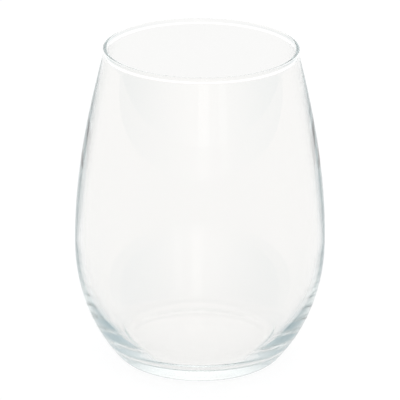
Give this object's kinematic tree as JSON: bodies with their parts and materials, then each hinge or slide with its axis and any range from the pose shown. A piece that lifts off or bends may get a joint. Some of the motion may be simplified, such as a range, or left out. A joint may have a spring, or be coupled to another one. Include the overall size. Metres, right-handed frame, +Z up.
{
  "type": "stemless wine glass",
  "caption": "Clear egg-shaped stemless wine glass with a heavy rounded base, walls that taper inward and a beaded rim, to hold wine and stand on a table.",
  "frame": {"origin": "centre of the flat ring that the glass stands on, at table level", "axes": "+Z up along the glass's axis of revolution, out of the mouth; +X and +Y are any two square directions, because the glass is round"},
  "size_m": [0.088, 0.088, 0.114],
  "materials": {
    "glass": "fire-polished clear soda-lime glass, faint blue-green where it is thick"
  },
  "bodies": {
    "root": {"glass": "glass"}
  },
  "joints": []
}
